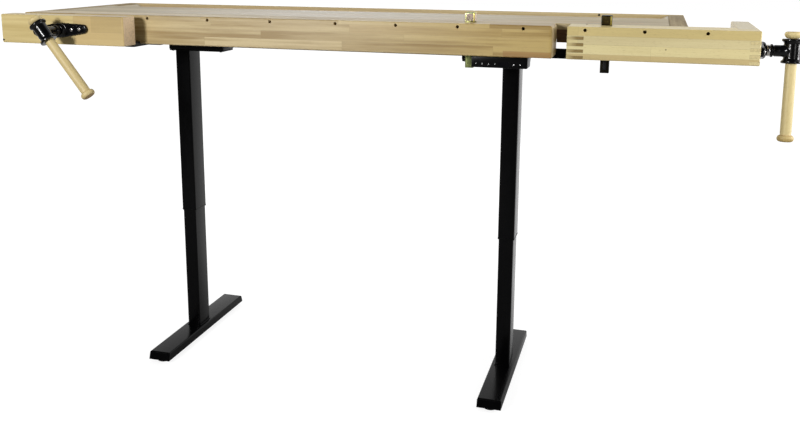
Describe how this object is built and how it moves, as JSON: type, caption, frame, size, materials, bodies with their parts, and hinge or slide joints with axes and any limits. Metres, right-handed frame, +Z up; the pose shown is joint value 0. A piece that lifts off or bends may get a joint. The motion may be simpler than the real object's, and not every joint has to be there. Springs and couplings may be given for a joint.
{
  "type": "woodworking bench",
  "caption": "Joiner's bench with a beech top, tool tray, front vise and tail vise, standing on an electric height-adjustable two-column frame with a push-key handset.",
  "frame": {"origin": "on the floor, under the middle of the bounding box", "axes": "+X along the bench towards the tail vise, +Y from the worker's side to the back, +Z up"},
  "size_m": [2.217, 0.77, 1.138],
  "materials": {
    "beech": "satin lacquer",
    "turned_beech": "satin lacquer",
    "plywood": "satin lacquer",
    "powder_coat": "fine black powder coat",
    "cast_iron": "black gloss enamel",
    "steel": "oiled turned steel",
    "yellow_zinc": "yellow passivated zinc",
    "black_plastic": "fine moulded texture",
    "key_plastic": "satin"
  },
  "bodies": {
    "base": {"foot_left": "powder_coat", "foot_right": "powder_coat", "lower_tube_left": "powder_coat", "lower_tube_right": "powder_coat", "lift_nut_left": "black_plastic", "lift_nut_right": "black_plastic"},
    "top": {"front_beam": "beech", "top_slab": "beech", "back_rail": "beech", "left_end_cap": "beech", "right_end_cap": "beech", "tray_floor": "plywood", "cross_batten_left": "beech", "cross_batten_right": "beech", "support_arm_left": "powder_coat", "support_arm_right": "powder_coat", "motor_housing_left": "powder_coat", "motor_housing_right": "powder_coat", "upper_tube_left": "powder_coat", "upper_tube_right": "powder_coat", "cross_beam": "powder_coat", "control_box": "black_plastic", "handset": "black_plastic", "front_guide_shoe_left": "powder_coat", "front_guide_shoe_right": "powder_coat", "front_nut": "cast_iron", "tail_slide_bar": "powder_coat", "tail_nut": "cast_iron"},
    "lift_screw_left": {"lift_spindle_left": "steel"},
    "lift_screw_right": {"lift_spindle_right": "steel"},
    "front_vise": {"front_jaw": "beech", "front_flange": "cast_iron", "front_guide_bar_left": "powder_coat", "front_guide_bar_right": "powder_coat"},
    "front_screw": {"front_spindle": "steel", "front_screw_head": "cast_iron"},
    "front_bar": {"front_handle": "turned_beech", "front_handle_knob": "turned_beech"},
    "tail_vise": {"tail_front_board": "beech", "tail_jaw_block": "beech", "tail_end_block": "beech", "tail_cover": "beech", "tail_keeper_plate": "powder_coat", "tail_flange": "cast_iron"},
    "tail_screw": {"tail_spindle": "steel", "tail_screw_head": "cast_iron"},
    "tail_bar": {"tail_handle": "turned_beech", "tail_handle_knob": "turned_beech"},
    "beam_dog": {"beam_dog": "yellow_zinc"},
    "tail_dog": {"tail_dog": "yellow_zinc"},
    "glide_left_front": {"glide_left_front": "black_plastic"},
    "glide_left_back": {"glide_left_back": "black_plastic"},
    "glide_right_front": {"glide_right_front": "black_plastic"},
    "glide_right_back": {"glide_right_back": "black_plastic"},
    "preset_key_1": {"preset_key_1": "key_plastic"},
    "preset_key_2": {"preset_key_2": "key_plastic"},
    "preset_key_3": {"preset_key_3": "key_plastic"},
    "preset_key_4": {"preset_key_4": "key_plastic"},
    "raise_key": {"raise_key": "key_plastic"},
    "lower_key": {"lower_key": "key_plastic"}
  },
  "joints": [
    {"name": "lift", "type": "slide", "parent": "base", "child": "top", "axis": [0, 0, 1], "range_m": [-0.375, 0.05]},
    {"name": "lift_screw_left", "type": "hinge", "parent": "top", "child": "lift_screw_left", "pos_m": [-0.707, 0.098, 0.75], "axis": [0, 0, 1], "range_deg": [-13520, 1820]},
    {"name": "lift_screw_right", "type": "hinge", "parent": "top", "child": "lift_screw_right", "pos_m": [0.362, 0.098, 0.75], "axis": [0, 0, 1], "range_deg": [-13520, 1820]},
    {"name": "glide_left_front_turn", "type": "hinge", "parent": "base", "child": "glide_left_front", "pos_m": [-0.707, -0.1335, 0.02], "axis": [0, 0, 1], "continuous": true},
    {"name": "glide_left_back_turn", "type": "hinge", "parent": "base", "child": "glide_left_back", "pos_m": [-0.707, 0.3295, 0.02], "axis": [0, 0, 1], "continuous": true},
    {"name": "glide_right_front_turn", "type": "hinge", "parent": "base", "child": "glide_right_front", "pos_m": [0.362, -0.1335, 0.02], "axis": [0, 0, 1], "continuous": true},
    {"name": "glide_right_back_turn", "type": "hinge", "parent": "base", "child": "glide_right_back", "pos_m": [0.362, 0.3295, 0.02], "axis": [0, 0, 1], "continuous": true},
    {"name": "preset_key_1_press", "type": "slide", "parent": "top", "child": "preset_key_1", "axis": [0, 1, 0], "range_m": [0, 0.001], "stiffness_N_per_m": 1200},
    {"name": "preset_key_2_press", "type": "slide", "parent": "top", "child": "preset_key_2", "axis": [0, 1, 0], "range_m": [0, 0.001], "stiffness_N_per_m": 1200},
    {"name": "preset_key_3_press", "type": "slide", "parent": "top", "child": "preset_key_3", "axis": [0, 1, 0], "range_m": [0, 0.001], "stiffness_N_per_m": 1200},
    {"name": "preset_key_4_press", "type": "slide", "parent": "top", "child": "preset_key_4", "axis": [0, 1, 0], "range_m": [0, 0.001], "stiffness_N_per_m": 1200},
    {"name": "raise_key_press", "type": "slide", "parent": "top", "child": "raise_key", "axis": [0, 1, 0], "range_m": [0, 0.001], "stiffness_N_per_m": 1200},
    {"name": "lower_key_press", "type": "slide", "parent": "top", "child": "lower_key", "axis": [0, 1, 0], "range_m": [0, 0.001], "stiffness_N_per_m": 1200},
    {"name": "front_vise_slide", "type": "slide", "parent": "top", "child": "front_vise", "axis": [0, -1, 0], "range_m": [-0.0302, 0.0902]},
    {"name": "front_screw_turn", "type": "hinge", "parent": "front_vise", "child": "front_screw", "pos_m": [-0.9015, -0.281, 1.07], "axis": [0, -1, 0], "range_deg": [-1800, 5400]},
    {"name": "front_bar_slide", "type": "slide", "parent": "front_screw", "child": "front_bar", "axis": [-0.6157, 0, 0.788], "range_m": [0, 0.177]},
    {"name": "tail_vise_slide", "type": "slide", "parent": "top", "child": "tail_vise", "axis": [1, 0, 0], "range_m": [-0.0352, 0.1102]},
    {"name": "tail_screw_turn", "type": "hinge", "parent": "tail_vise", "child": "tail_screw", "pos_m": [1.0045, -0.118, 1.06], "axis": [1, 0, 0], "range_deg": [-2100, 6600]},
    {"name": "tail_bar_slide", "type": "slide", "parent": "tail_screw", "child": "tail_bar", "axis": [0, 0.0872, 0.9962], "range_m": [0, 0.177]},
    {"name": "beam_dog_slide", "type": "slide", "parent": "top", "child": "beam_dog", "axis": [0, 0, 1], "range_m": [-0.026, 0.03]},
    {"name": "tail_dog_slide", "type": "slide", "parent": "tail_vise", "child": "tail_dog", "axis": [0, 0, 1], "range_m": [-0.026, 0.03]}
  ],
  "couplings": [
    {"joint": "lift_screw_left", "follows": "lift", "rad_per_m": 628.32},
    {"joint": "lift_screw_right", "follows": "lift", "rad_per_m": 628.32},
    {"joint": "front_vise_slide", "follows": "front_screw_turn", "m_per_rad": 0.00095493},
    {"joint": "tail_vise_slide", "follows": "tail_screw_turn", "m_per_rad": 0.00095493}
  ]
}
